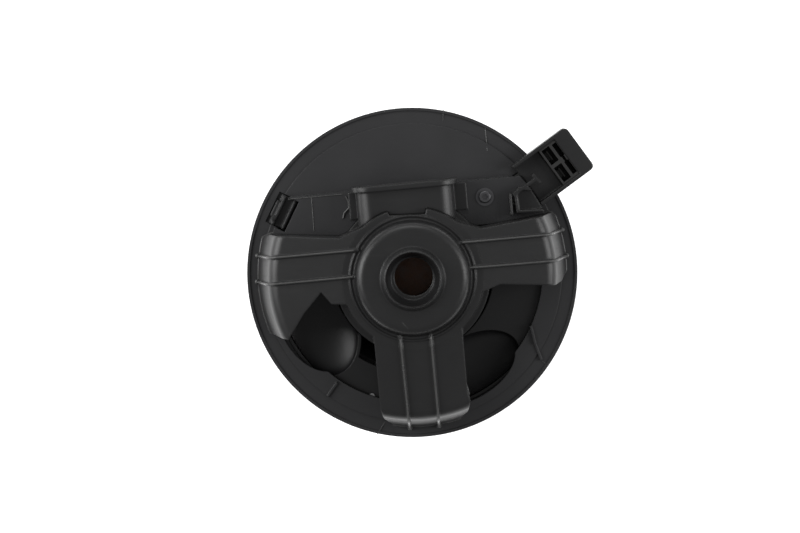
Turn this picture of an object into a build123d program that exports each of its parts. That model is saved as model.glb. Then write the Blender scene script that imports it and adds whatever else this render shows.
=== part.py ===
from build123d import *
import os
from math import atan2, degrees, hypot

# Blower assembly of a car heater. Millimetres. The origin is on the spin axis at the flange's seat,
# +Z runs up through the motor's dome, and the wheel hangs below the flange.

# Flange
flange_r = 100.0
flange_t = 3.0
step_r = 90.5
step_h = 1.2
fin_t = 1.4
opening_r = 78.7
spigot_r = 88.0
spigot_depth = 8.0
wall = 2.2

# Cover: a tee that is turned a little about the spin axis
tee_turn = 5.3
tub_r = 41.7
tub_foot_r = 46.5
tub_step_z = 28.0
plate_z = 45.0
arm_end_z = 39.0
arm_end_r = 84.4
arm_foot_r = 93.5
arm_corner_r = 7.0
notch_r = 37.6
dome_r = 35.0
dome_z = 52.0
boss_r = 19.0
boss_z = 57.0
dish_top_r = 16.6
dish_low_r = 12.9
dish_z = 46.0
hole_r = 11.3
hole_spot = (0.6, 1.0)
rib_w = 1.7
rib_h = 1.5

# Platform and duct box, in the tee's own axes
platform_z = 15.0
chord_y = 53.0
platform_low_y = 26.0
platform_r = 87.5
duct_half = 29.0
duct_front_y = 52.6
duct_z = 40.0
duct_round = 9.0
lip_out = 2.6
lip_t = 3.2

# Motor
can_r = 30.0
can_wall = 1.6
can_top_z = 18.0
can_low_z = -31.5
can_boss_r = 13.0
can_boss_z = 23.0
shaft_r = 3.95
bearing_bore_r = 4.0
bearing_r = 8.0
shaft_top_z = 19.6
shaft_low_z = -64.0
core_r = 22.2
core_top_z = 8.0
core_low_z = -14.0
slot_count = 12
commutator_r = 10.0
commutator_top_z = -19.0
commutator_low_z = -29.0
bar_count = 12
card_top_z = -29.5
brush_w = 6.0
brush_h = 6.6
brush_l = 11.0
brush_gap = 0.1
brush_clear = 0.05
brush_z = -24.4
spring_r = 2.6
guide_back_x = 26.2
choke_angles = (60, 120)

# Wheel
wheel_r = 75.0
wheel_eye_r = 61.0
wheel_top_z = -17.0
wheel_low_z = -79.0
blade_count = 43
blade_t = 1.1
rim_t = 2.2
ring_t = 1.8
hub_r = 9.0
hub_top_z = -45.0
hub_low_z = -61.0
bush_r = 5.6

# Guide plate; each scoop is its angle, its centre's radius, half its length and half its width
scoop_depth = 10.0
scoop_sizes = ((206, 66, 36, 23.5), (300, 68, 34, 19.5))
guide_r = 85.7
guide_eye_r = 49.3
leaf_r = 60.9

# Connector on its tongue
tongue_angle = 36.5
tongue_w = 30.0
tongue_offset = 2.0
tongue_end = 100.4
cell_start = 106.0
cell_end = 111.4
cell_y = 6.3
head_start = 116.6
head_end = 126.3
bar_top_z = 5.4
bar_t = 1.0
bar_start = 37.0
bar_half = 2.5
tongue_z = 16.0

# Fixings
screw_spot = (47.5, 42.5)
screw_r = 1.7
spoke_angles = (5.3, 160, 252)
clip_blades = (4, 17)

# Rim latch
latch_angle = 154.5
latch_r = 86.5
latch_len = 19.0
latch_w = 10.0
latch_gap = 0.5
latch_z = 9.0
pocket_z = 1.2


def disc(r, z0, z1):
    return Pos(0, 0, (z0 + z1) / 2) * Cylinder(r, z1 - z0)


def tube(r_out, r_in, z0, z1):
    return disc(r_out, z0, z1) - disc(r_in, z0 - 1, z1 + 1)


def block(x0, x1, y0, y1, z0, z1):
    return Pos((x0 + x1) / 2, (y0 + y1) / 2, (z0 + z1) / 2) * Box(x1 - x0, y1 - y0, z1 - z0)


def prism(points, z0, z1):
    face = make_face(Polyline(*points, close=True))
    return extrude(Pos(0, 0, z0) * face, z1 - z0)


def turned(points):
    face = make_face(Polyline(*[(r, 0, z) for r, z in points], close=True))
    return revolve(face, Axis.Z)


def at_angle(angle, part):
    return Rot(0, 0, angle) * part


def in_tee(part):
    return at_angle(tee_turn, part)


# Cover -----------------------------------------------------------------------------------------


def tee_outline(inset):
    left = [(-11, 38), (-41.5, 27.4), (-82.5, 32.2), (-90, 29.5), (-93, 22), (-100, 20), (-100, -24),
            (-87, -28.5), (-76.5, -30), (-66, -15.5), (-54.5, -3.5), (-49, -11), (-40, -12), (-26, -24)]
    low = [(-26.2, -76), (-24.5, -84), (-19.5, -91), (-19.5, -100), (20.5, -100), (20.5, -91),
           (25.5, -84), (27.5, -76), (26.3, -70), (26.5, -24)]
    right = [(40, -12), (51, -8.4), (83, -12.4), (89, -11.8), (93, -6.5), (100, -6), (100, 23),
             (91, 25), (86.5, 29.5), (42.8, 25.4), (11.6, 37)]
    face = make_face(Polyline(*left, *low, *right, close=True))
    if inset:
        face = offset(face, -inset)
    return face


def arm_envelope(grow):
    line = FilletPolyline((0, 0, plate_z + grow), (tub_r, 0, plate_z + grow),
                          (arm_end_r + grow, 0, arm_end_z + grow), (arm_foot_r + grow, 0, flange_t),
                          radius=arm_corner_r + grow)
    close = Polyline((arm_foot_r + grow, 0, flange_t), (0, 0, flange_t), (0, 0, plate_z + grow))
    return revolve(make_face(line + close), Axis.Z)


def tub(inset):
    return turned([(0, flange_t), (tub_foot_r - inset, flange_t), (tub_foot_r - inset, tub_step_z - inset),
                   (tub_r + 1.2 - inset, tub_step_z - inset), (tub_r - inset, plate_z - inset),
                   (0, plate_z - inset)])


def tee_block(inset):
    height = plate_z + 10
    arms = extrude(Pos(0, 0, flange_t) * tee_outline(inset), height) & arm_envelope(-inset)
    notch = prism([(-8.6, 33), (-14.5, 50), (15.5, 50), (9.4, 33)], platform_z + 1, height)
    return arms + (tub(inset) - (notch - disc(notch_r - inset, 0, height + 1)))


def rib_lines():
    return [((-30, 19.6), (-98, 19.2)), ((-33, 4.2), (-98, 3.6)), ((28, 18.4), (98, 17.8)),
            ((31, 3.2), (98, 2.0)), ((-10.5, -33), (-10.0, -98)), ((7.5, -33), (7.6, -98))]


def rib(start, end):
    length = hypot(end[0] - start[0], end[1] - start[1])
    angle = degrees(atan2(end[1] - start[1], end[0] - start[0]))
    slab = block(0, length, -rib_w / 2, rib_w / 2, flange_t, plate_z + 5)
    return Pos(start[0], start[1], 0) * Rot(0, 0, angle) * slab


def arm_ribs():
    skin = arm_envelope(rib_h) - arm_envelope(-0.4)
    ribs = [rib(a, b) & skin for a, b in rib_lines()]
    return Part() + ribs


def dome_solid():
    line = FilletPolyline((0, 0, dome_z), (dome_r - 3, 0, dome_z), (dome_r, 0, plate_z - 1), radius=5)
    close = Polyline((dome_r, 0, plate_z - 1), (0, 0, plate_z - 1), (0, 0, dome_z))
    crown = revolve(make_face(line + close), Axis.Z)
    boss = turned([(0, dome_z - 1), (boss_r, dome_z - 1), (boss_r, dome_z), (boss_r - 2.2, boss_z - 1),
                   (boss_r - 3.0, boss_z), (0, boss_z)])
    foot_ring = tube(dome_r + 2.4, dome_r + 1.2, plate_z - 0.5, plate_z + 0.8)
    return crown + boss + foot_ring


def well():
    outer = turned([(0, dish_z - wall), (dish_low_r + wall, dish_z - wall), (dish_top_r + wall, dome_z - 1),
                    (0, dome_z - 1)])
    inner = turned([(0, dish_z), (dish_low_r, dish_z), (dish_top_r - 0.8, boss_z - 1),
                    (dish_top_r, boss_z + 1), (0, boss_z + 1)])
    hole = Pos(*hole_spot, dish_z) * Cylinder(hole_r, 3 * wall)
    return outer, inner + hole


def motor_cover():
    shell = tee_block(0) - tee_block(wall)
    hollow_dome = disc(dome_r - 4, plate_z - 4, dome_z - wall)
    shell = in_tee(shell + arm_ribs()) + dome_solid() - hollow_dome
    outer, inner = well()
    seat = tube(28.5, 26.3, 22.2, dome_z - 1)
    return shell + outer + seat - inner - bar_slots()


# Flange ----------------------------------------------------------------------------------------


def scoop(angle, radius, length, width, grow=0.0):
    ball = scale(Sphere(1), by=(width + grow, length + grow, scoop_depth + grow))
    return at_angle(angle, Pos(radius, 0, 0) * ball)


def scoops(grow=0.0):
    return [scoop(*each, grow) for each in scoop_sizes]


def platform(inset, top):
    low = platform_low_y + inset
    plan = block(-100, 100, low, chord_y - inset, 0, top)
    return in_tee(plan) & disc(platform_r - inset, -2, top)


def at_latch(part):
    return at_angle(latch_angle, Pos(latch_r, 0, 0) * Rot(0, 0, -90) * part)


def latch_pocket():
    half = latch_len / 2 + latch_gap
    return at_latch(block(-half, half, -latch_w / 2 - 1.3, latch_w / 2 + 2, pocket_z, 20))


def fin(start, end, height):
    length = hypot(end[0] - start[0], end[1] - start[1])
    angle = degrees(atan2(end[1] - start[1], end[0] - start[0]))
    slab = block(0, length, -fin_t / 2, fin_t / 2, flange_t - 1, flange_t + height)
    return Pos(start[0], start[1], 0) * Rot(0, 0, angle) * slab


def flange_fins():
    fins = [fin((-45.4, -66.2), (-51.6, -75.0), 2.6), fin((71.6, -31.8), (74.5, -43.0), 3.4),
            fin((74.5, -43.0), (78.3, -52.8), 2.2), fin((-36.5, 51.0), (-36.5, 41.5), 0.4)]
    return Part() + fins


def mounting_flange():
    plate = disc(flange_r, 0, flange_t) + disc(step_r, 0, flange_t + step_h)
    rim = tube(flange_r, flange_r - 1.8, 0, flange_t + 0.9)
    spigot = tube(spigot_r, spigot_r - wall, -spigot_depth, 0.5)
    low_part = in_tee(block(-100, 100, -100, platform_low_y, -3, 10))
    opening = disc(opening_r, -3, 10) & low_part
    body = plate + rim - opening + flange_fins()
    body = body + platform(0, platform_z) - platform(wall, platform_z - wall)
    for hollow in scoops():
        body = body - (hollow & disc(spigot_r - 0.2, -1, 20))
    body = body + spigot
    body = body - in_tee(Pos(*screw_spot, 0) * Cylinder(screw_r, 60))
    body = body - latch_pocket() - in_tee(tee_block(0)) - bar_slots()
    return body - disc(tub_foot_r, -1, flange_t + 2) - screw_holes()


# Duct, screw and bracket -----------------------------------------------------------------------


def duct_box():
    bar = block(-duct_half, duct_half, 20, duct_front_y, platform_z, duct_z)
    top_edges = bar.edges().filter_by(Axis.Y).group_by(Axis.Z)[-1]
    bar = fillet(top_edges, duct_round)
    hollow = block(-duct_half + wall, duct_half - wall, 10, duct_front_y + 9, platform_z + wall,
                   duct_z - wall)
    hollow = fillet(hollow.edges().filter_by(Axis.Y).group_by(Axis.Z)[-1], duct_round - wall)
    lip = block(-duct_half - lip_out, duct_half + lip_out, duct_front_y, duct_front_y + lip_t, platform_z,
                duct_z + lip_out)
    lip = fillet(lip.edges().filter_by(Axis.Y).group_by(Axis.Z)[-1], duct_round + lip_out)
    foot = block(-duct_half - 5, duct_half + 8, 36, duct_front_y, platform_z, platform_z + 2)
    return in_tee(bar + lip + foot - hollow - tee_block(0))


def duct_screw():
    head = Cylinder(3.7, 2.6)
    head = fillet(head.edges().group_by(Axis.Z)[-1], 0.9)
    lobes = [at_angle(60 * i, Pos(1.35, 0, 0.9) * Cylinder(0.5, 2.2)) for i in range(6)]
    head = head - Pos(0, 0, 0.9) * Cylinder(1.45, 2.2) - lobes
    shank = Pos(0, 0, -4.8) * Cylinder(screw_r, 7)
    washer = Pos(0, 0, -1.0) * Cylinder(5.4, 0.6)
    return in_tee(Pos(*screw_spot, platform_z + 1.3) * (head + shank + washer))


def lead_bracket():
    tray = prism([(64.8, 43.4), (65.4, 31.5), (84.2, 30.5), (79.2, 45.4), (68, 47)], platform_z,
                 platform_z + 9)
    hollow = prism([(66.6, 41.8), (67.2, 33.2), (81.6, 32.3), (77.6, 43.6), (68.6, 45)], platform_z + 1.4,
                   platform_z + 12)
    bar = Pos(64, 42.5, 0) * Rot(0, 0, 29) * block(0, 17, -1.1, 1.1, platform_z + 6, platform_z + 9)
    stop = Pos(79, 50.6, 0) * Rot(0, 0, -53) * block(-3.6, 3.6, -1.1, 1.1, platform_z + 4, platform_z + 9)
    guard = block(61.6, 63.2, 30.5, 43.5, platform_z, platform_z + 9)
    tie = block(62, 66, 36, 37.6, platform_z, platform_z + 6)
    frame = (tray - hollow + guard + tie) & disc(platform_r, 0, 40)
    return in_tee(frame + bar + stop - tee_block(0))


# Connector -------------------------------------------------------------------------------------


def in_tongue(part):
    return at_angle(tongue_angle, Pos(0, tongue_offset, 0) * part)


def connector_tongue():
    half = tongue_w / 2
    low = flange_t + step_h
    floor = block(80, head_end, -half, half, bar_top_z, bar_top_z + 2.2)
    walls = [block(80, head_end, y - 1.1, y + 1.1, low, tongue_z) for y in (half - 1.1, 1.1 - half)]
    head = block(head_start, head_end, -half, half, low, tongue_z)
    blank = block(70, head_end, -half, half, 0, 40)
    blank = fillet(blank.edges().filter_by(Axis.Z).group_by(Axis.X)[-1], 3)
    gap = block(tongue_end, head_start, wall - half, half - wall, bar_top_z + wall, 40)
    socket = block(cell_start - 1.2, head_start, wall - half, half - wall, 0, 40)
    body = (Part() + floor + walls + head) & blank
    return in_tongue(body - gap - socket) - disc(step_r - 2.5, 0, 40)


def connector_housing():
    half = tongue_w / 2 - 2.2
    shell = block(cell_start - 1.2, head_start, -half, half, -6, tongue_z - 0.8)
    cells = [block(cell_start, cell_end, y - 5.2, y + 5.2, 1.5, 40) for y in (-cell_y, cell_y)]
    slots = [block(cell_end + 1.8, head_start - 0.4, y - 4.6, y + 4.6, -1, 40) for y in (-cell_y, cell_y)]
    neck = block(cell_end + 2.4, head_start - 1.2, -2, 2, -1, 40)
    bars = [bar_run(y, 0.05) for y in (-cell_y, cell_y)]
    return in_tongue(shell - cells - slots - neck - bars)


def bar_run(y, grow=0.0):
    half = bar_half + grow
    return block(bar_start, cell_end - 2.3, y - half, y + half, bar_top_z - bar_t - grow,
                 bar_top_z + grow / 2)


def terminal_blades():
    blades = [block(cell_end - 3.1, cell_end - 2.3, y - 3.1, y + 3.1, bar_top_z, tongue_z - 7)
              for y in (-cell_y, cell_y)]
    return in_tongue(Part() + blades)


def bar_slots():
    return in_tongue(block(bar_start - 1, 92, -9.5, 9.5, flange_t - 0.5, bar_top_z + 0.5))


def supply_bars():
    bars = []
    for y in (-cell_y, cell_y):
        drop = block(bar_start - 0.2, bar_start + bar_t, y - bar_half, y + bar_half, -8, bar_top_z)
        bars.append(bar_run(y) + drop)
    return in_tongue(Part() + bars)


# Latch -----------------------------------------------------------------------------------------


def rim_latch():
    low = pocket_z + 0.4
    half = latch_len / 2
    finger = block(-half, half, -latch_w / 2, latch_w / 2, low, low + 3.2)
    ribs = [block(-half, half, y - 0.9, y + 0.9, low + 1, latch_z) for y in (-4.1, 2.6)]
    tooth = block(-5, 5, latch_w / 2 - 2.4, latch_w / 2 + 1.2, low + 0.2, latch_z - 2)
    stud = Pos(-5.5, 3.4, (low + 1 + latch_z) / 2) * Cylinder(1.5, latch_z - low)
    return at_latch(Part() + finger + ribs + tooth + stud)


# Guide plate and cradle ------------------------------------------------------------------------


def guide_plate():
    leaf_gap = prism([(0, 0), (-70, -12), (-70, -90), (-8, -90)], -20, 1) & disc(leaf_r, -20, 1)
    sheet = tube(guide_r, guide_eye_r, -wall, 0) - leaf_gap
    for shell, hollow in zip(scoops(wall), scoops()):
        bowl = (shell - hollow) & tube(guide_r, guide_eye_r, -20, 0)
        sheet = sheet - (shell & disc(guide_r, -20, 0)) + bowl
    skirt = tube(guide_r, guide_r - wall, -spigot_depth, 0)
    return sheet + skirt - screw_holes()


def screw_holes():
    return [at_angle(a, Pos(79, 0, -9) * Cylinder(1.6, 20)) for a in spoke_angles]


def motor_cradle():
    cup = turned([(tub_foot_r, flange_t), (tub_foot_r, -6), (36, -30.5), (30.4, -30.5), (30.4, -28.3),
                  (33.4, -28.3), (33.4, -14), (43.6, -4), (43.6, flange_t)])
    spokes = [at_angle(a, block(44.5, 83, -4, 4, -7.0, -4.6)) for a in spoke_angles]
    posts = [at_angle(a, Pos(79, 0, -3.4) * Cylinder(4, 2.4)) for a in spoke_angles]
    clear = [bowl & disc(guide_r + 1, -30, 0.5) for bowl in scoops(wall + 0.3)]
    return Part() + cup + spokes + posts - screw_holes() - bar_slots() - clear


def plate_screws():
    head = Pos(0, 0, -8.1) * Cylinder(3.6, 2.2)
    shank = Pos(0, 0, -3.0) * Cylinder(1.6, 8.0)
    return [at_angle(a, Pos(79, 0, 0) * (head + shank)) for a in spoke_angles]


def flange_seal():
    return tube(flange_r - 1.5, spigot_r + 5.5, -3.0, 0)


# Motor -----------------------------------------------------------------------------------------


def motor_can():
    bore, boss_bore = can_r - can_wall, can_boss_r - can_wall
    shell = turned([(can_r, can_low_z), (can_r, can_top_z - 2), (can_r - 2, can_top_z),
                    (can_boss_r, can_top_z), (can_boss_r, can_boss_z - 1.2), (can_boss_r - 1.2, can_boss_z),
                    (0, can_boss_z), (0, can_boss_z - can_wall), (boss_bore, can_boss_z - can_wall),
                    (boss_bore, can_top_z - can_wall), (bore, can_top_z - can_wall), (bore, can_low_z)])
    vents = [at_angle(45 + 90 * i, Pos(21, 0, can_top_z) * Box(5, 9, 8)) for i in range(4)]
    return shell - vents


def motor_end_plate():
    return turned([(shaft_r + 3.0, -42), (9.8, -42), (9.8, -34), (can_r, -34), (can_r, can_low_z),
                   (bearing_r, can_low_z), (bearing_r, -40.4), (shaft_r + 3.0, -40.4)])


def bearing(z0, z1):
    return turned([(bearing_bore_r, z0), (bearing_r - 1, z0), (bearing_r, z0 + 1), (bearing_r, z1 - 1),
                   (bearing_r - 1, z1), (bearing_bore_r, z1)])


def bearing_retainers():
    return tube(can_boss_r - can_wall, bearing_r, 18.4, 19.4)


def field_magnets():
    ring = tube(can_r - can_wall, core_r + 0.8, -17, 11)
    cut = block(-40, 40, -9, 9, -20, 14)
    return (ring - cut).solids()


def magnet_clips():
    ring = tube(can_r - can_wall, can_r - can_wall - 1.0, -15, 9)
    keep = block(-40, 40, -8.9, 8.9, -20, 14)
    return (ring & keep).solids()


def brush_card():
    card = tube(can_r - can_wall, 12, card_top_z - 1.8, card_top_z)
    return card - [at_angle(90 * i, Pos(22, 0, card_top_z) * Cylinder(1.2, 6)) for i in (1, 3)]


def along_brush(side, part):
    return at_angle(0 if side > 0 else 180, part)


def brush_guides():
    guides = []
    for side in (1, -1):
        box = block(13, 27, -brush_w / 2 - 0.9, brush_w / 2 + 0.9, card_top_z, brush_z + brush_h / 2 + 0.9)
        bore = block(12, guide_back_x, -brush_w / 2 - brush_clear, brush_w / 2 + brush_clear,
                     brush_z - brush_h / 2 - brush_clear, brush_z + brush_h / 2 + brush_clear)
        slot = block(12, 25, -0.8, 0.8, brush_z, brush_z + 8)
        guides.append(along_brush(side, box - bore - slot))
    return guides


def carbon_brush(side):
    start = commutator_r + brush_gap
    body = block(commutator_r - 2, start + brush_l, -brush_w / 2, brush_w / 2, brush_z - brush_h / 2,
                 brush_z + brush_h / 2)
    return along_brush(side, body - disc(start, -60, 10))


def rod_x(r, x0, x1):
    return Pos((x0 + x1) / 2, 0, brush_z) * Rot(0, 90, 0) * Cylinder(r, x1 - x0)


def brush_spring(side):
    start = commutator_r + brush_gap + brush_l
    coil = rod_x(spring_r, start, guide_back_x) - rod_x(spring_r - 0.7, start - 1, guide_back_x + 1)
    return along_brush(side, coil)


def suppressor_chokes():
    coil = Pos(20.5, 0, card_top_z + 5) * Cylinder(3.4, 10)
    return [at_angle(a, coil) for a in choke_angles]


# Rotor -----------------------------------------------------------------------------------------


def motor_shaft():
    rod = disc(shaft_r, shaft_low_z, shaft_top_z)
    return chamfer(rod.edges(), 0.4)


def armature_core():
    core = tube(core_r, shaft_r, core_low_z, core_top_z)
    slots = []
    for i in range(slot_count):
        throat = block(core_r - 3, core_r + 1, -1.0, 1.0, core_low_z - 1, core_top_z + 1)
        pocket = Pos(core_r - 6.5, 0, (core_low_z + core_top_z) / 2) * Box(7.5, 5.2, 40)
        slots.append(at_angle(360 / slot_count * i, throat + pocket))
    return core - slots


def armature_windings():
    coils = []
    middle = (core_low_z + core_top_z) / 2
    for i in range(slot_count):
        leg = Pos(core_r - 6.5, 0, middle) * Box(7.3, 5.0, core_top_z - core_low_z + 1)
        coils.append(at_angle(360 / slot_count * i, leg))
    crown = turned([(9, core_top_z), (core_r - 2, core_top_z), (core_r - 2.6, core_top_z + 3),
                    (core_r - 6, core_top_z + 5.4), (12, core_top_z + 4.4), (9, core_top_z + 2)])
    crown_low = turned([(9, core_low_z), (core_r - 2, core_low_z), (core_r - 2.6, core_low_z - 2.4),
                        (core_r - 6, core_low_z - 3.8), (12, core_low_z - 3.6), (9, core_low_z - 2)])
    return Part() + coils + crown + crown_low


def commutator():
    drum = tube(commutator_r, shaft_r, commutator_low_z, commutator_top_z)
    riser = tube(commutator_r + 1.4, commutator_r - 1, commutator_top_z - 1.2, commutator_top_z)
    gap = Pos(commutator_r, 0, (commutator_top_z + commutator_low_z) / 2) * Box(1.6, 0.4, 12)
    return drum + riser - [at_angle(360 / bar_count * i, gap) for i in range(bar_count)]


def thrust_washers():
    top = tube(6.5, shaft_r, 11.6, 12.4)
    low = tube(6.5, shaft_r, -32.4, -31.6)
    return [top, low]


def blade():
    inner, bulge, outer = (wheel_eye_r, 0), (68.3, 0.2), (wheel_r - 2.4, 6.5)
    back_inner, back_bulge, back_outer = ((x + dx, y - blade_t) for (x, y), dx in
                                          ((inner, 0), (bulge, 0.5), (outer, 0.3)))
    outline = ThreePointArc(inner, bulge, outer) + Line(outer, back_outer)
    outline = outline + ThreePointArc(back_outer, back_bulge, back_inner) + Line(back_inner, inner)
    low = wheel_low_z + ring_t
    return extrude(Pos(0, 0, low) * make_face(outline), wheel_top_z - rim_t - low)


def wheel_bell():
    t = wheel_top_z
    upper = [(60, t), (51.5, t - 8), (45, t - 19), (37, t - 27.5), (24, t - 31.2), (hub_r + 2, t - 32)]
    hub = [(hub_r + 2, t - 32), (hub_r, hub_top_z), (bush_r, hub_top_z), (bush_r, hub_low_z),
           (hub_r, hub_low_z), (hub_r, t - 34.2)]
    lower = [(hub_r, t - 34.2), (24, t - 33.4), (38.4, t - 29.2), (46.8, t - 20), (53, t - 9.6),
             (60.2, t - rim_t)]
    rim = [(60.2, t - rim_t), (wheel_r, t - rim_t), (wheel_r, t), (60, t)]

    def placed(points):
        return [(r, 0, z) for r, z in points]

    outline = Spline(*placed(upper)) + Polyline(*placed(hub))
    outline = outline + Spline(*placed(lower)) + Polyline(*placed(rim))
    return revolve(make_face(outline), Axis.Z)


def wheel_hub():
    hub_ribs = [at_angle(4 + 60 * i, block(hub_r - 1, 26, -0.8, 0.8, hub_low_z + 2, hub_top_z - 5))
                for i in range(6)]
    return wheel_bell() + hub_ribs


def wheel_blades():
    one = blade()
    return Compound([at_angle(360 / blade_count * i, one) for i in range(blade_count)])


def wheel_ring():
    flat = tube(wheel_r, wheel_r - 14.5, wheel_low_z, wheel_low_z + ring_t)
    return flat + tube(wheel_r, wheel_r - ring_t, wheel_low_z, wheel_low_z + 5)


def hub_bush():
    return tube(bush_r, shaft_r, hub_low_z, hub_top_z)


def wheel_clip():
    ring = tube(7.2, shaft_r, hub_low_z - 1.0, hub_low_z)
    notches = [at_angle(60 * i, Pos(shaft_r + 0.8, 0, hub_low_z) * Box(1.8, 1.2, 4)) for i in range(6)]
    return ring - notches


def balance_clips():
    clips = []
    for index in clip_blades:
        clip = block(wheel_eye_r - 1.0, wheel_eye_r, -2.2, 0.9, -62, -50)
        clips.append(at_angle(360 / blade_count * index, clip))
    return clips


# Main ------------------------------------------------------------------------------------------


def parts():
    return {
        "motor_cover": motor_cover(),
        "mounting_flange": mounting_flange(),
        "guide_plate": guide_plate(),
        "duct_box": duct_box(),
        "duct_screw": duct_screw(),
        "lead_bracket": lead_bracket(),
        "connector_tongue": connector_tongue(),
        "connector_housing": connector_housing(),
        "terminal_blades": terminal_blades(),
        "supply_bars": supply_bars(),
        "rim_latch": rim_latch(),
        "motor_cradle": motor_cradle(),
        "plate_screws": Compound(plate_screws()),
        "flange_seal": flange_seal(),
        "upper_isolator": tube(can_r - 2.0, 17.5, can_top_z, 22.2),
        "lower_isolator": tube(33.4, can_r, -28.3, -20),
        "motor_can": motor_can(),
        "motor_end_plate": motor_end_plate(),
        "field_magnets": Compound(field_magnets()),
        "magnet_clips": Compound(magnet_clips()),
        "brush_card": brush_card(),
        "brush_guides": Compound(brush_guides()),
        "carbon_brush_a": carbon_brush(1),
        "carbon_brush_b": carbon_brush(-1),
        "brush_spring_a": brush_spring(1),
        "brush_spring_b": brush_spring(-1),
        "suppressor_chokes": Compound(suppressor_chokes()),
        "upper_bearing": bearing(13.0, 21.0),
        "lower_bearing": bearing(-40.4, -33.2),
        "bearing_retainers": bearing_retainers(),
        "motor_shaft": motor_shaft(),
        "armature_core": armature_core(),
        "armature_windings": armature_windings(),
        "commutator": commutator(),
        "thrust_washers": Compound(thrust_washers()),
        "hub_bush": hub_bush(),
        "wheel_hub": wheel_hub(),
        "wheel_blades": wheel_blades(),
        "wheel_ring": wheel_ring(),
        "wheel_clip": wheel_clip(),
        "balance_clips": Compound(balance_clips()),
    }


def main():
    os.makedirs("parts", exist_ok=True)
    for name, part in parts().items():
        export_step(part, f"parts/{name}.step")


main()
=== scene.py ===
import math
import bmesh
import bpy
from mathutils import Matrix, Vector


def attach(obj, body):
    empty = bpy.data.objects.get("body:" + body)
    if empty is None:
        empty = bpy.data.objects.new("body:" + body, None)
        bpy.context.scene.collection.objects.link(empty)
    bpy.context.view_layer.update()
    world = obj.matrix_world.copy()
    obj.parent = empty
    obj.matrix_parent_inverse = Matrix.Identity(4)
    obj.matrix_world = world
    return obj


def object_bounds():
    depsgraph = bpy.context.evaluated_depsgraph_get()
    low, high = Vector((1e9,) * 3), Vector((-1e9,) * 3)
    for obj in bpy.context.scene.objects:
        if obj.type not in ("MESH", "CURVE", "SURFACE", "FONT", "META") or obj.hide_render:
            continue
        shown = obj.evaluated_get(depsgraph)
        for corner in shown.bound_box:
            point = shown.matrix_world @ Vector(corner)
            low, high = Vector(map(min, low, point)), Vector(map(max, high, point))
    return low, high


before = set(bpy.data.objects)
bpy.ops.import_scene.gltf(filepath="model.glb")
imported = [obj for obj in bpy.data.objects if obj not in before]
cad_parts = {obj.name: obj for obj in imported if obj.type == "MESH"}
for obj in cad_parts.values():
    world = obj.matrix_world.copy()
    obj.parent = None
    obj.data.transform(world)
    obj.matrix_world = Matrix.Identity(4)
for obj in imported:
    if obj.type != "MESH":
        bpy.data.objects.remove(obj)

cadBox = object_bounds()
mm = 0.001
print("frame loaded:", len(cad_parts), "nodes")


class Wire:
    # one socket, with the operators that the patterns use
    def __init__(self, paint, socket):
        self.paint = paint
        self.socket = socket

    def maths(self, operation, a, b):
        return self.paint.node("ShaderNodeMath", {"operation": operation}, {0: a, 1: b})

    def __add__(self, other):
        return self.maths("ADD", self, other)

    def __radd__(self, other):
        return self.maths("ADD", other, self)

    def __mul__(self, other):
        return self.maths("MULTIPLY", self, other)

    def __rmul__(self, other):
        return self.maths("MULTIPLY", other, self)

    def clipped(self, low, high, toLow=0.0, toHigh=1.0):
        return self.paint.node("ShaderNodeMapRange", {"interpolation_type": "SMOOTHSTEP"},
                               {"Value": self, "From Min": low, "From Max": high,
                                "To Min": toLow, "To Max": toHigh})


class Paint:
    # a material with one principled shader, built node by node
    def __init__(self, name, **fixed):
        self.material = bpy.data.materials.new(name)
        self.material.use_nodes = True
        self.tree = self.material.node_tree
        self.shader = self.tree.nodes["Principled BSDF"]
        self.place = self.node("ShaderNodeTexCoord", out="Object")
        for socket, value in fixed.items():
            self.set(socket.replace("_", " "), value)

    def node(self, kind, settings=None, inputs=None, out=0):
        made = self.tree.nodes.new(kind)
        for key, value in (settings or {}).items():
            if key == "stops":
                self.stops(made.color_ramp, value)
            else:
                setattr(made, key, value)
        for key, value in (inputs or {}).items():
            if isinstance(value, Wire):
                self.tree.links.new(value.socket, made.inputs[key])
            else:
                made.inputs[key].default_value = value
        return Wire(self, made.outputs[out])

    def stops(self, ramp, stops):
        while len(ramp.elements) < len(stops):
            ramp.elements.new(0.5)
        for element, (at, tone) in zip(ramp.elements, stops):
            element.position = at
            element.color = (*tone, 1)

    def set(self, socket, value):
        if isinstance(value, Wire):
            self.tree.links.new(value.socket, self.shader.inputs[socket])
        elif isinstance(value, tuple) and len(value) == 3:
            self.shader.inputs[socket].default_value = (*value, 1)
        else:
            self.shader.inputs[socket].default_value = value

    def noise(self, scale, detail=3.0, rough=0.55, stretch=None):
        place = self.place
        if stretch:
            place = self.node("ShaderNodeMapping", {}, {"Vector": place, "Scale": stretch})
        inputs = {"Vector": place, "Scale": scale, "Detail": detail, "Roughness": rough}
        return self.node("ShaderNodeTexNoise", {}, inputs)

    def mix(self, factor, a, b):
        made = self.tree.nodes.new("ShaderNodeMix")
        made.data_type = "RGBA"
        for index, value in ((0, factor), (6, a), (7, b)):
            if isinstance(value, Wire):
                self.tree.links.new(value.socket, made.inputs[index])
            elif index == 0:
                made.inputs[index].default_value = value
            else:
                made.inputs[index].default_value = (*value, 1)
        return Wire(self, made.outputs[2])

    def bump(self, height, distance, softEdge=0.0):
        inputs = {"Height": height, "Distance": distance}
        if softEdge:
            inputs["Normal"] = self.node("ShaderNodeBevel", {"samples": 6}, {"Radius": softEdge})
        self.set("Normal", self.node("ShaderNodeBump", {}, inputs))


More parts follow.
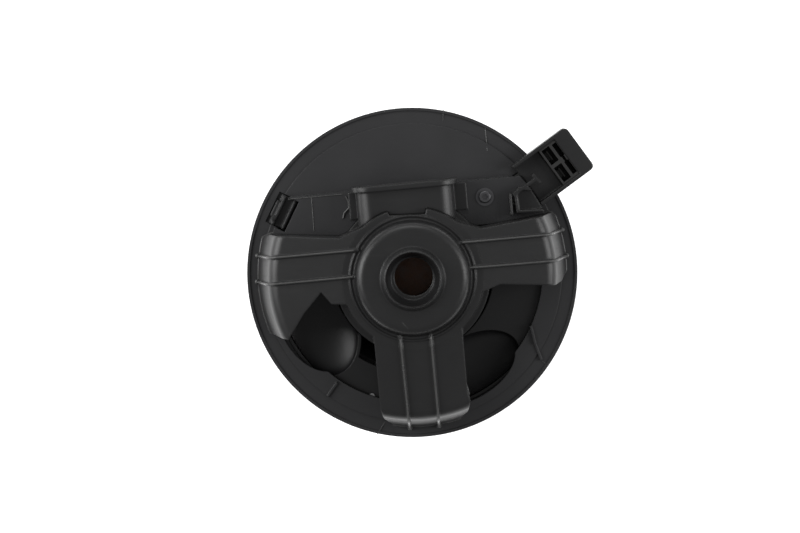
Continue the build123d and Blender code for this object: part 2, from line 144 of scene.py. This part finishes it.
def blackMoulding(name, tone, rough, grain=0.03, dust=0.25, softEdge=0.8):
    paint = Paint(name, Specular_IOR_Level=0.42)
    cloud = paint.noise(18, 4).clipped(0.35, 0.7)
    fleck = paint.noise(2200, 2, 0.7).clipped(0.66, 0.74)
    streak = paint.noise(60, 3, 0.6, (1.0, 9.0, 1.0)).clipped(0.52, 0.75)
    pale = tuple(c * 2.3 + 0.012 for c in tone)
    body = paint.mix(cloud * 0.35, tone, tuple(c * 1.35 for c in tone))
    paint.set("Base Color", paint.mix(fleck * dust, body, pale))
    paint.set("Roughness", rough + cloud * 0.06 + streak * 0.05 + fleck * 0.12)
    paint.bump(paint.noise(1500, 3, 0.6) + 0.25 * paint.noise(240, 2), grain * mm, softEdge * mm)
    return paint.material


def rustyEnd():
    paint = Paint("rustySteel", Metallic=0.15)
    blotch = paint.noise(160, 5, 0.65)
    browns = [(0.3, (0.060, 0.034, 0.024)), (0.5, (0.120, 0.062, 0.040)), (0.72, (0.180, 0.090, 0.052))]
    paint.set("Base Color", paint.node("ShaderNodeValToRGB", {"stops": browns}, {"Fac": blotch}))
    paint.set("Roughness", blotch.clipped(0.3, 0.7, 0.45, 0.75))
    paint.bump(blotch, 0.08 * mm)
    return paint.material


def metal(name, tone, rough, stretch=(1, 1, 30), mottled=0.15):
    paint = Paint(name, Metallic=1.0)
    brush = paint.noise(220, 3, 0.6, stretch)
    cloud = paint.noise(30, 3).clipped(0.3, 0.7)
    paint.set("Base Color", paint.mix(cloud * mottled, tone, tuple(c * 0.55 for c in tone)))
    paint.set("Roughness", rough + brush * 0.12 + cloud * 0.06)
    paint.bump(brush, 0.01 * mm)
    return paint.material


def dull(name, tone, rough, grainScale=900, depth=0.05, spread=0.35):
    paint = Paint(name)
    grain = paint.noise(grainScale, 4, 0.65)
    pale = tuple(c * 1.8 + 0.01 for c in tone)
    paint.set("Base Color", paint.mix(grain.clipped(0.3, 0.7) * spread, tone, pale))
    paint.set("Roughness", rough + grain * 0.1)
    paint.bump(grain, depth * mm)
    return paint.material


def copperWire():
    paint = Paint("copperWire", Metallic=1.0, Coat_Weight=0.4, Coat_Roughness=0.15)
    cloud = paint.noise(300, 2)
    paint.set("Base Color", paint.mix(cloud, (0.60, 0.22, 0.09), (0.36, 0.12, 0.05)))
    paint.set("Roughness", cloud.clipped(0.3, 0.7, 0.22, 0.4))
    return paint.material


finishes = {
    "cover": blackMoulding("coverBlack", (0.0125, 0.0125, 0.0128), 0.34, 0.03, 0.2, 1.5),
    "flange": blackMoulding("flangeBlack", (0.020, 0.020, 0.0212), 0.46, 0.03, 0.3, 0.6),
    "guide": blackMoulding("guideBlack", (0.008, 0.008, 0.0084), 0.36, 0.02, 0.1, 0.8),
    "wheel": blackMoulding("wheelBlack", (0.012, 0.012, 0.0124), 0.42, 0.04, 0.2, 0.4),
    "connector": blackMoulding("connectorBlack", (0.016, 0.016, 0.0158), 0.5, 0.05, 0.2, 0.4),
    # painted highlight: the beads are the cover's own black plastic, given a grey about four times lighter
    # than the cover so that they read as bright lines along the seams, rib crests and small marks
    "beadHighlight": blackMoulding("beadPaintedHighlight", (0.055, 0.055, 0.0545), 0.24, 0.02, 0.3, 0.0),
    "rust": rustyEnd(),
    "steel": metal("brightSteel", (0.56, 0.56, 0.57), 0.28),
    "screw": metal("blackZincScrew", (0.12, 0.12, 0.125), 0.35, (1, 1, 1)),
    "zinc": metal("zincPlate", (0.50, 0.51, 0.52), 0.38, (1, 1, 1), 0.3),
    "brass": metal("rolledBrass", (0.72, 0.52, 0.22), 0.3),
    "tinned": metal("dullTin", (0.09, 0.09, 0.088), 0.5),
    "copper": copperWire(),
    "bronze": dull("sinteredBronze", (0.30, 0.17, 0.07), 0.55, 2500, 0.04),
    "core": metal("laminations", (0.22, 0.22, 0.23), 0.45, (0.02, 0.02, 60)),
    "ferrite": dull("ferrite", (0.035, 0.035, 0.038), 0.7, 1600, 0.05),
    "carbon": dull("carbon", (0.03, 0.03, 0.031), 0.55, 2400, 0.02),
    "laminate": dull("brownLaminate", (0.20, 0.10, 0.035), 0.5, 500, 0.02),
    "rubber": dull("blackRubber", (0.016, 0.016, 0.016), 0.75, 1400, 0.04),
    "foam": dull("openFoam", (0.030, 0.030, 0.032), 0.95, 1300, 0.5, 0.6),
}
nodeFinish = {
    "motor_cover": "cover", "mounting_flange": "flange", "guide_plate": "guide", "duct_box": "cover",
    "duct_screw": "screw", "lead_bracket": "cover", "connector_tongue": "cover",
    "connector_housing": "connector", "terminal_blades": "tinned", "supply_bars": "tinned",
    "motor_cradle": "guide", "plate_screws": "steel", "flange_seal": "foam", "upper_isolator": "rubber",
    "lower_isolator": "rubber", "motor_can": "rust", "motor_end_plate": "zinc",
    "field_magnets": "ferrite", "magnet_clips": "steel", "brush_card": "laminate",
    "brush_guides": "brass", "brush_spring_a": "steel", "brush_spring_b": "steel",
    "suppressor_chokes": "copper", "upper_bearing": "bronze", "lower_bearing": "bronze",
    "bearing_retainers": "steel", "motor_shaft": "steel", "armature_core": "core",
    "armature_windings": "copper", "commutator": "copper", "thrust_washers": "steel",
    "hub_bush": "bronze", "wheel_hub": "wheel", "wheel_blades": "wheel", "wheel_ring": "wheel",
    "wheel_clip": "steel", "balance_clips": "steel", "carbon_brush_a": "carbon",
    "carbon_brush_b": "carbon", "rim_latch": "cover",
}
for name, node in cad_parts.items():
    node.data.materials.clear()
    node.data.materials.append(finishes[nodeFinish[name]])
print("finishes on", len(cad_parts), "nodes")


def roundBead(name, runs, radius, closed=False):
    # a thin round line of moulding along each run of points, in metres
    curve = bpy.data.curves.new(name + "Line", "CURVE")
    curve.dimensions = "3D"
    curve.bevel_depth = radius
    curve.bevel_resolution = 2
    curve.use_fill_caps = True
    for run in runs:
        line = curve.splines.new("POLY")
        line.points.add(len(run) - 1)
        for point, place in zip(line.points, run):
            point.co = (*place, 1)
        line.use_cyclic_u = closed
    drawn = bpy.data.objects.new(name + "Line", curve)
    bpy.context.collection.objects.link(drawn)
    mesh = bpy.data.meshes.new_from_object(drawn)
    bpy.data.objects.remove(drawn)
    addPiece(name, mesh)


def addPiece(name, mesh):
    # every new piece is part of the black mouldings that stay still
    mesh.name = name
    mesh.materials.clear()
    # every bead gets the lighter grey finish, a painted highlight along the thin line
    mesh.materials.append(finishes["beadHighlight"])
    for face in mesh.polygons:
        face.use_smooth = True
    piece = bpy.data.objects.new(name, mesh)
    bpy.context.collection.objects.link(piece)
    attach(piece, "housing")


tee = {
    "turn": 5.3,            # degrees that the cover is turned about the spin axis
    "seamHeight": 4.7,      # above the seat, where the cover's foot is
    "seamRadius": 0.62,
    "studs": ((-92.2, 19.3), (-93.9, 3.7), (92.5, 17.9), (94.0, 2.1), (-10.0, -93.5), (7.6, -93.8)),
    "ribs": (((-33, 19.6), (-93, 19.2)), ((-35, 4.2), (-94, 3.6)), ((31, 18.4), (93, 17.8)),
             ((34, 3.2), (94, 2.0)), ((-10.5, -35), (-10.0, -94)), ((7.5, -35), (7.6, -94))),
    "crestRadius": 0.6,
    "crestSteps": 60,       # along each rib
    "crestLowest": 3.5,     # a crest stops where the cover is lower than this
    "studRadius": 1.5,
    "studLift": 0.2,        # above the seam
}


def inTee(x, y, z):
    turn = math.radians(tee["turn"])
    return Vector((x * math.cos(turn) - y * math.sin(turn), x * math.sin(turn) + y * math.cos(turn), z)) * mm


def walkLoops(edges):
    # the ordered points of each closed loop of cut edges
    links = {}
    for edge in edges:
        for vert in edge.verts:
            links.setdefault(vert, []).append(edge.other_vert(vert))
    loops, seen = [], set()
    for start in links:
        if start in seen:
            continue
        loop, here = [], start
        while here is not None and here not in seen:
            seen.add(here)
            loop.append(here.co.copy())
            here = next((v for v in links[here] if v not in seen), None)
        loops.append(loop)
    return loops


def coverSeam():
    # the moulded line round the cover's foot, on the CAD cover's own outline
    form = bmesh.new()
    form.from_mesh(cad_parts["motor_cover"].data)
    bmesh.ops.remove_doubles(form, verts=form.verts[:], dist=0.00001)
    whole = form.verts[:] + form.edges[:] + form.faces[:]
    level = (0, 0, tee["seamHeight"] * mm)
    cut = bmesh.ops.bisect_plane(form, geom=whole, plane_co=level, plane_no=(0, 0, 1))
    edges = [part for part in cut["geom_cut"] if isinstance(part, bmesh.types.BMEdge)]
    loops = walkLoops(edges)
    outline = max(loops, key=lambda loop: sum((a - b).length for a, b in zip(loop, loop[1:])))
    roundBead("coverSeam", [outline], tee["seamRadius"] * mm, closed=True)
    form.free()


def ribStuds():
    # the rounded end of each rib, where it meets the flange
    form = bmesh.new()
    z = tee["seamHeight"] + tee["studLift"]
    for x, y in tee["studs"]:
        made = bmesh.ops.create_uvsphere(form, u_segments=16, v_segments=10, radius=tee["studRadius"] * mm)
        bmesh.ops.translate(form, verts=made["verts"], vec=inTee(x, y, z))
    mesh = bpy.data.meshes.new("ribStuds")
    form.to_mesh(mesh)
    form.free()
    addPiece("ribStuds", mesh)


def ribCrests():
    # a rounded crest along the top of each rib, laid on the CAD cover from above
    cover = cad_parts["motor_cover"]
    steps = tee["crestSteps"]
    wellAbove = 90
    runs = []
    for start, end in tee["ribs"]:
        run = []
        for step in range(steps + 1):
            x, y = (a + (b - a) * step / steps for a, b in zip(start, end))
            hit, place, *rest = cover.ray_cast(inTee(x, y, wellAbove), Vector((0, 0, -1)))
            if hit and place.z > tee["crestLowest"] * mm:
                run.append(place)
        runs.append(run)
    roundBead("ribCrests", runs, tee["crestRadius"] * mm)


coverSeam()
ribCrests()
ribStuds()
print("cover seam, crests and studs made")


small = {
    "partingRadius": 0.28,
    "partingLines": (       # on the flange
        ((18.6, 98.6, 3.9), (18.5, 92.4, 3.05)),
        ((43.7, 89.6, 3.05), (44.3, 84.0, 3.05), (45.2, 73.9, 4.25)),
        ((-16.7, -91.2, 3.05), (-21.2, -98.1, 3.9)),
        ((81.6, -55.6, 3.05), (78.8, -53.6, 3.05)),
    ),
    "hookRadius": 0.55,
    "hook": ((-35.4, 50.6, 16.2), (-34.2, 47.5, 16.4), (-34.0, 43.5, 16.2), (-37.3, 40.6, 15.9),
             (-38.2, 37.6, 15.5)),          # on the platform, in the cover's turned axes
    "panelRadius": 0.3,
    "panelLines": (((-56.0, 51.8, 15.1), (-56.3, 31.5, 15.1)), ((-37.0, 51.9, 15.1), (-70.0, 51.9, 15.1))),
    "markRadius": 0.22,
    "mark": ((-6.0, -25.6, 51.95), (-2.8, -29.2, 51.75)),       # on the dome
}


def smallDetails():
    parting = [[Vector(point) * mm for point in line] for line in small["partingLines"]]
    roundBead("partingLines", parting, small["partingRadius"] * mm)
    roundBead("platformHook", [[inTee(*point) for point in small["hook"]]], small["hookRadius"] * mm)
    panels = [[inTee(*point) for point in line] for line in small["panelLines"]]
    roundBead("panelLines", panels, small["panelRadius"] * mm)
    roundBead("domeMark", [[Vector(point) * mm for point in small["mark"]]], small["markRadius"] * mm)


smallDetails()
print("small lines made")


studio = {
    "distance": 1.5,        # from the flange to the camera
    "tilt": 4.0,            # degrees from the spin axis
    "aim": (-0.00744, 0.0040, 0.003),
    "flangeAcross": 0.2,
    "flangeShare": 0.412875,        # of the frame's width
    "floorHalf": 6,
    "floorTone": 0.86,
    "floorGlow": 0.8,
    "fill": 0.28,           # strength of the white surroundings
}
lamps = {
    "leftBox": {"place": (-1.35, 0.25, 0.85), "across": 0.8, "tall": 1.3, "power": 20},
    "rightBox": {"place": (1.35, 0.15, 0.9), "across": 0.6, "tall": 1.2, "power": 13},
    "backBox": {"place": (-0.2, 1.5, 1.1), "across": 1.4, "tall": 0.7, "power": 9},
}


def makeCamera():
    data = bpy.data.cameras.new("camera")
    camera = bpy.data.objects.new("camera", data)
    bpy.context.collection.objects.link(camera)
    tilt = math.radians(studio["tilt"])
    offset = Vector((0, math.sin(tilt), math.cos(tilt))) * studio["distance"]
    camera.location = Vector(studio["aim"]) + offset
    camera.rotation_euler = (-tilt, 0, 0)
    data.lens = studio["flangeShare"] * data.sensor_width * studio["distance"] / studio["flangeAcross"]
    data.clip_end = 20
    bpy.context.scene.camera = camera


def makeFloor():
    mesh = bpy.data.meshes.new("floor")
    form = bmesh.new()
    bmesh.ops.create_grid(form, x_segments=1, y_segments=1, size=studio["floorHalf"])
    form.to_mesh(mesh)
    form.free()
    floor = bpy.data.objects.new("floor", mesh)
    bpy.context.collection.objects.link(floor)
    floor.location.z = cadBox[0][2]
    paint = Paint("paleFloor", Roughness=0.9)
    tone = studio["floorTone"]
    paint.set("Base Color", (tone, tone, tone))
    paint.set("Emission Color", (1.0, 1.0, 1.0))
    paint.set("Emission Strength", studio["floorGlow"])
    floor.data.materials.append(paint.material)


def areaLight(name, lamp):
    # a rectangular lamp that points at the origin
    data = bpy.data.lights.new(name, "AREA")
    data.shape = "RECTANGLE"
    data.size = lamp["across"]
    data.size_y = lamp["tall"]
    data.energy = lamp["power"]
    box = bpy.data.objects.new(name, data)
    bpy.context.collection.objects.link(box)
    box.location = lamp["place"]
    box.rotation_euler = (-Vector(lamp["place"])).to_track_quat("-Z", "Y").to_euler()


def makeLights():
    for name, lamp in lamps.items():
        areaLight(name, lamp)
    world = bpy.data.worlds.new("studio")
    world.use_nodes = True
    background = world.node_tree.nodes["Background"]
    background.inputs["Color"].default_value = (1, 1, 1, 1)
    background.inputs["Strength"].default_value = studio["fill"]
    bpy.context.scene.world = world
    bpy.context.scene.view_settings.view_transform = "Standard"


makeCamera()
makeFloor()
makeLights()
print("studio ready")
